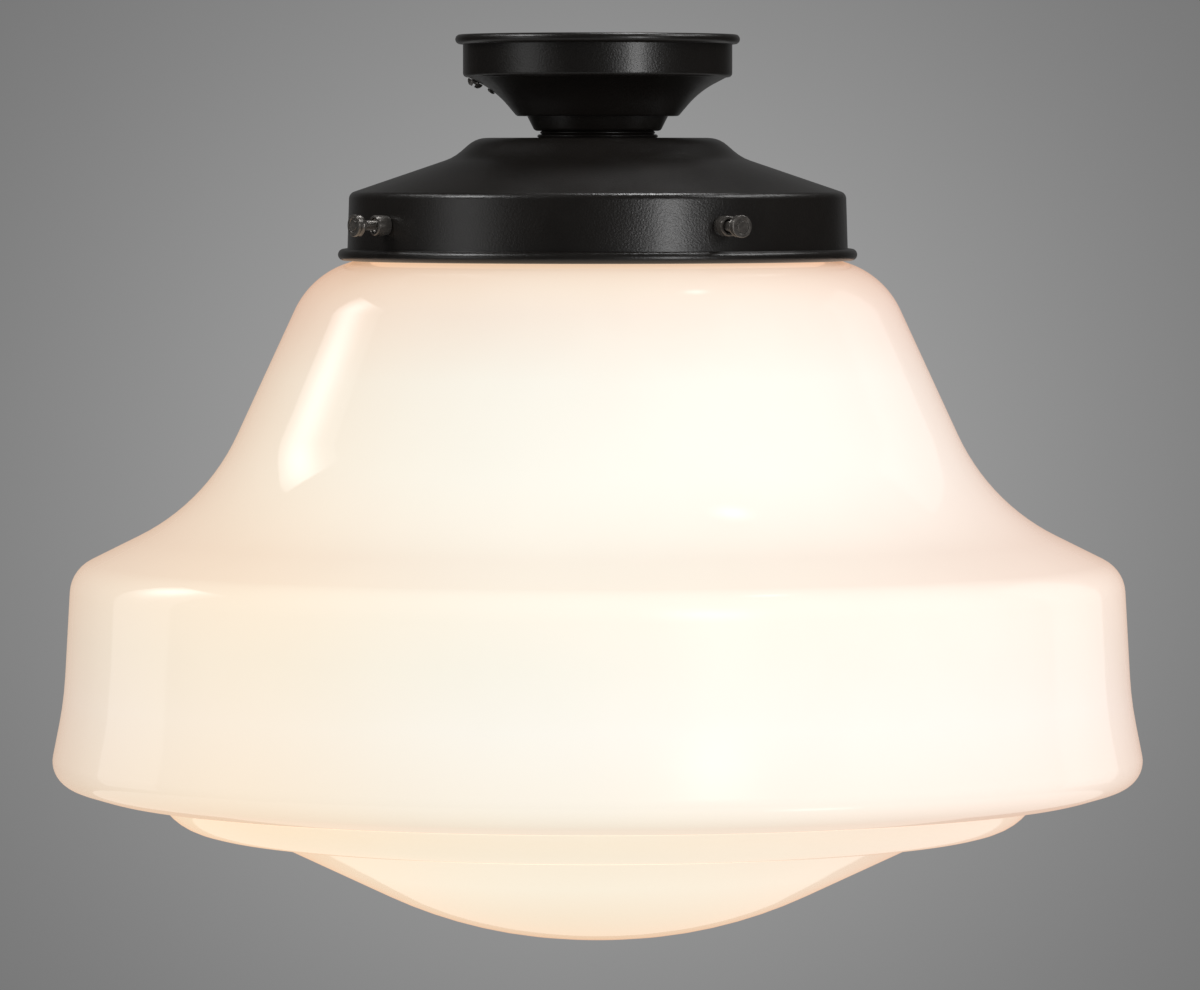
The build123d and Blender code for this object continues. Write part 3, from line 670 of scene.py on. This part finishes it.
def shade_outline():
    """Outside of the glass, from the lip to the bottom, then back up its inside."""
    def under(radius, depth, turn):
        return (mm(radius), glass_throat - mm(depth), mm(turn))

    lip_foot = shade_top - glass_lip_height
    corners = [(glass_neck_radius, lip_foot, 0), (glass_neck_radius, glass_throat, mm(6)),
               under(120.1, 6.9, 37), under(164.4, 102.7, 90), under(220.7, 130.6, 15),
               under(223.8, 184.8, 150), under(230.4, 217.8, 10.9), under(210.8, 223.7, 16),
               under(184.7, 224.6, 1.2), under(178.9, 238.9, 22), under(144.8, 240.3, 17),
               under(49.7, 285.4, 196), (0, shade_foot, 0)]
    wall = sheet(rounded(corners), -glass_wall)
    lip_bend = mm(1.2)
    inner = glass_neck_radius - glass_wall
    lip = rounded([(inner, lip_foot, 0), (inner, shade_top, mm(0.8)),
                   (glass_lip_radius, shade_top, lip_bend), (glass_lip_radius, lip_foot, lip_bend),
                   (glass_neck_radius, lip_foot, 0)])
    return wall[:-1] + lip[:-1]


shade = spun("opal_shade", shade_outline(), steps=256, closed=False)
finish_piece(shade, "glass_shade")


# ---- Thumbscrews ----

def screw_head():
    """Tapered, cross-knurled head with a rounded rim, and a ring and a button on its face."""
    band = head_start + head_taper
    rim = band + knurl_length
    face = rim + head_rim
    corners = [(0, head_start, 0), (screw_radius, head_start, 0), (mm(3.9), band - mm(0.3), mm(0.3)),
               (knurl_radius, band, 0)]
    outline = rounded(corners)
    for row in range(1, knurl_rows + 1):
        outline.append(Vector((knurl_radius, band + knurl_length * row / knurl_rows)))
    groove = face - mm(0.4)
    rim_corners = [(knurl_radius - mm(0.25), rim, 0), (head_radius, rim, mm(0.15)),
                   (head_radius, face, mm(0.4)), (mm(3.2), face, mm(0.1)), (mm(3.0), groove, mm(0.1)),
                   (mm(2.2), groove, mm(0.1)), (mm(2.0), face, mm(0.2)), (0, face, 0)]
    head = spun("screw_head", outline + rounded(rim_corners), steps=knurl_teeth, closed=False)

    def every_other(place):
        row = (place.z - band) / knurl_length * knurl_rows
        tooth = math.atan2(place.y, place.x) / (2 * math.pi) * knurl_teeth
        on_band = abs(place.xy.length - knurl_radius) < mm(0.02) and 0.5 < row < knurl_rows - 0.5
        return on_band and (round(row) + round(tooth)) % 2 == 0

    pick(head, every_other)
    inwards = 1 - mm(0.4) / knurl_radius
    bpy.ops.transform.resize(value=(inwards, inwards, 1), center_override=(0, 0, 0))
    bpy.ops.object.mode_set(mode="OBJECT")
    return head


def thumbscrew():
    """Threaded shank with a blunt tip, and its head."""
    root = screw_radius - 0.6 * screw_pitch
    shank = threaded("screw_shank", root, screw_radius, screw_pitch, screw_tip,
                     head_start + mm(0.3), steps=24)
    pick(shank, lambda place: place.z < screw_tip + mm(0.05))
    bpy.ops.transform.resize(value=(0.8, 0.8, 1), center_override=(0, 0, 0))
    bpy.ops.object.mode_set(mode="OBJECT")
    return joined(shank, screw_head())


pattern = thumbscrew()
for node, angle in screw_angles.items():
    finish_piece(laid(pattern, "knurled_" + node, angle, screw_level), node)
bpy.data.objects.remove(pattern)


# ---- Everything else keeps its CAD shape, welded; the outer hardware also gets its edges broken ----

for node in ("canopy_screw", "canopy_rivet", "screw_bosses"):
    softened(node, mm(0.12))
for node in ("crossbar", "ground_screw", "canopy_nut", "crossbar_locknut", "holder_nut",
             "socket_locknut", "threaded_nipple", "holder_spring_washer"):
    softened(node, mm(0.2))
for node in ("socket_cap", "socket_porcelain", "cap_screws", "terminal_screws", "socket_screw_shell",
             "socket_centre_contact", "lamp_base", "lamp_insulator", "lamp_contact", "lamp_envelope",
             "lamp_stem", "lamp_filaments"):
    softened(node, 0)
for node, piece in nodes.items():
    piece.data.materials.clear()
    piece.data.materials.append(finishes[slot_of[node]])


# ---- Camera, light and surroundings ----

def aimed(thing, place, target):
    thing.location = place
    thing.rotation_euler = (Vector(target) - Vector(place)).to_track_quat("-Z", "Y").to_euler()
    bpy.context.scene.collection.objects.link(thing)


camera_place = (0.001, -3.104, -0.050)
camera_target = (0.001, 0, -0.193)
camera_data = bpy.data.cameras.new("photo_camera")
camera_data.sensor_width = 36
camera_data.lens = 222
camera_data.clip_end = 60
camera = bpy.data.objects.new("photo_camera", camera_data)
aimed(camera, camera_place, camera_target)
bpy.context.scene.camera = camera

middle = Vector((0, 0, -0.18))


def lit_group(name, pieces):
    """Pieces that a lamp with its flags set for them lights."""
    group = bpy.data.collections.new(name)
    for piece in pieces:
        group.objects.link(piece)
    return group


def softbox(name, azimuth, elevation, distance, size, radiance, lit=None, hot_spot=None, mirrored=True):
    """Area lamp towards the middle of the light; azimuth from the camera's side, to the right.

    A hot spot is (across, up, reach across, reach up, least): its place on the lamp and its reach from
    0 to 1, and what is left of the radiance far from it.
    """
    width, height = size
    lamp = bpy.data.lights.new(name, "AREA")
    lamp.shape = "RECTANGLE"
    lamp.size = width
    lamp.size_y = height
    lamp.energy = radiance * math.pi * width * height
    if hot_spot:
        across, up, reach_across, reach_up, least = hot_spot
        lamp.use_nodes = True
        face = Nodes(lamp.node_tree)
        u, v = face.apart(face.node("ShaderNodeNewGeometry", output="Parametric"))[:2]
        away = ((u - across) / reach_across) ** 2 + ((v - up) / reach_up) ** 2
        strength = least + (1 - least) * math.e ** (away * -1)
        face.feed(lamp.node_tree.nodes["Emission"].inputs["Strength"], strength)
    turn = math.radians(azimuth)
    rise = math.radians(elevation)
    level = math.cos(rise)
    way = Vector((math.sin(turn) * level, -math.cos(turn) * level, math.sin(rise)))
    holder = bpy.data.objects.new(name, lamp)
    aimed(holder, middle + way * distance, middle)
    holder.light_linking.receiver_collection = lit
    holder.visible_glossy = mirrored


glass_pieces = lit_group("glass_pieces", [shade])
meshes = [piece for piece in bpy.context.scene.objects if piece.type == "MESH"]
others = [piece for piece in meshes if piece is not shade]
metal_pieces = lit_group("metal_pieces", others)

# Lamps flagged off the metal
softbox("left_rear_softbox", -113, 10, 2.6, (1.1, 2.5), 3.4, glass_pieces, (0.4, 0.85, 0.3, 0.20, 0.10))
softbox("right_rear_softbox", 124, 10, 2.6, (1.2, 2.5), 0.3, glass_pieces)
softbox("front_glow", 24, 22, 2.8, (1.9, 3.0), 2.6, glass_pieces, (0.5, 0.5, 0.22, 0.24, 0.0))
softbox("right_side_fill", 72, 12, 2.6, (1.8, 1.8), 3.8, glass_pieces, mirrored=False)
softbox("overhead_right", 86, 69, 2.4, (0.5, 0.3), 3.2, glass_pieces, (0.5, 0.5, 0.3, 0.3, 0.0))
softbox("low_right_card", 45, -33, 1.4, (0.45, 0.22), 2.6, glass_pieces, (0.5, 0.5, 0.4, 0.4, 0.0))

# Lamps flagged off the glass
softbox("metal_key", 33, 3, 2.8, (0.75, 1.7), 9.6, metal_pieces, (0.5, 0.5, 0.4, 0.5, 0.1))
softbox("metal_left_fill", -62, 5, 2.8, (1.8, 1.6), 1.3, metal_pieces, (0.5, 0.5, 0.35, 0.5, 0.1))
softbox("metal_left_high", -75, 45, 2.6, (0.8, 0.8), 11.0, metal_pieces)
softbox("metal_right_high", 82, 46, 2.6, (0.8, 0.8), 7.0, metal_pieces)
softbox("metal_overhead", 140, 74, 2.4, (0.6, 0.6), 16.0, metal_pieces)
softbox("metal_left_rear", -115, 44, 2.6, (0.5, 0.5), 2.6, metal_pieces)
softbox("metal_right_rear", 115, 44, 2.6, (0.5, 0.5), 5.0, metal_pieces)

world = bpy.data.worlds.new("grey_studio")
bpy.context.scene.world = world
world.use_nodes = True
studio = Nodes(world.node_tree)
ray = studio.node("ShaderNodeLightPath").socket.node.outputs
seen = Wire(studio, ray["Is Camera Ray"])
mirrored = (Wire(studio, ray["Is Glossy Ray"]) + Wire(studio, ray["Is Transmission Ray"])).clamped()
side, forth, up = studio.apart(studio.node("ShaderNodeTexCoord", output="Generated"))
# Painted light: a pool of brighter light on the backdrop around the middle of the view, brighter further
# back
view_drop = 0.046
painted_pool_reach = 0.081
from_view = (side ** 2 + (up + view_drop) ** 2) / painted_pool_reach ** 2
painted_light_pool = math.e ** (from_view * -1) * (0.5 + 0.5 * forth)
backdrop = studio.mixed(painted_light_pool, (0.15, 0.15, 0.15), (0.37, 0.37, 0.37))
room = studio.ramp(forth, [(0.80, (0.018, 0.018, 0.018)), (0.96, (0.13, 0.13, 0.13))])
tone = studio.mixed(mirrored, (0.62, 0.62, 0.62), room)
tone = studio.mixed(seen, tone, backdrop)
studio.feed(world.node_tree.nodes["Background"].inputs["Color"], tone)

# Far enough down to leave the light in sight from below
floor_level = -6.5
floor_radius = 16
deselect()
bpy.ops.mesh.primitive_circle_add(vertices=96, radius=floor_radius, fill_type="NGON",
                                  location=(0, 0, floor_level))
floor = bpy.context.active_object
floor.name = "pale_floor"
plaster = Finish("pale_plaster", roughness=0.8)
cloud = plaster.noise(6, detail=5)
plaster.set("Base Color", plaster.mixed(cloud, (0.62, 0.62, 0.61), (0.66, 0.66, 0.65)))
floor.data.materials.append(plaster.material)

bpy.context.scene.view_settings.view_transform = "Standard"
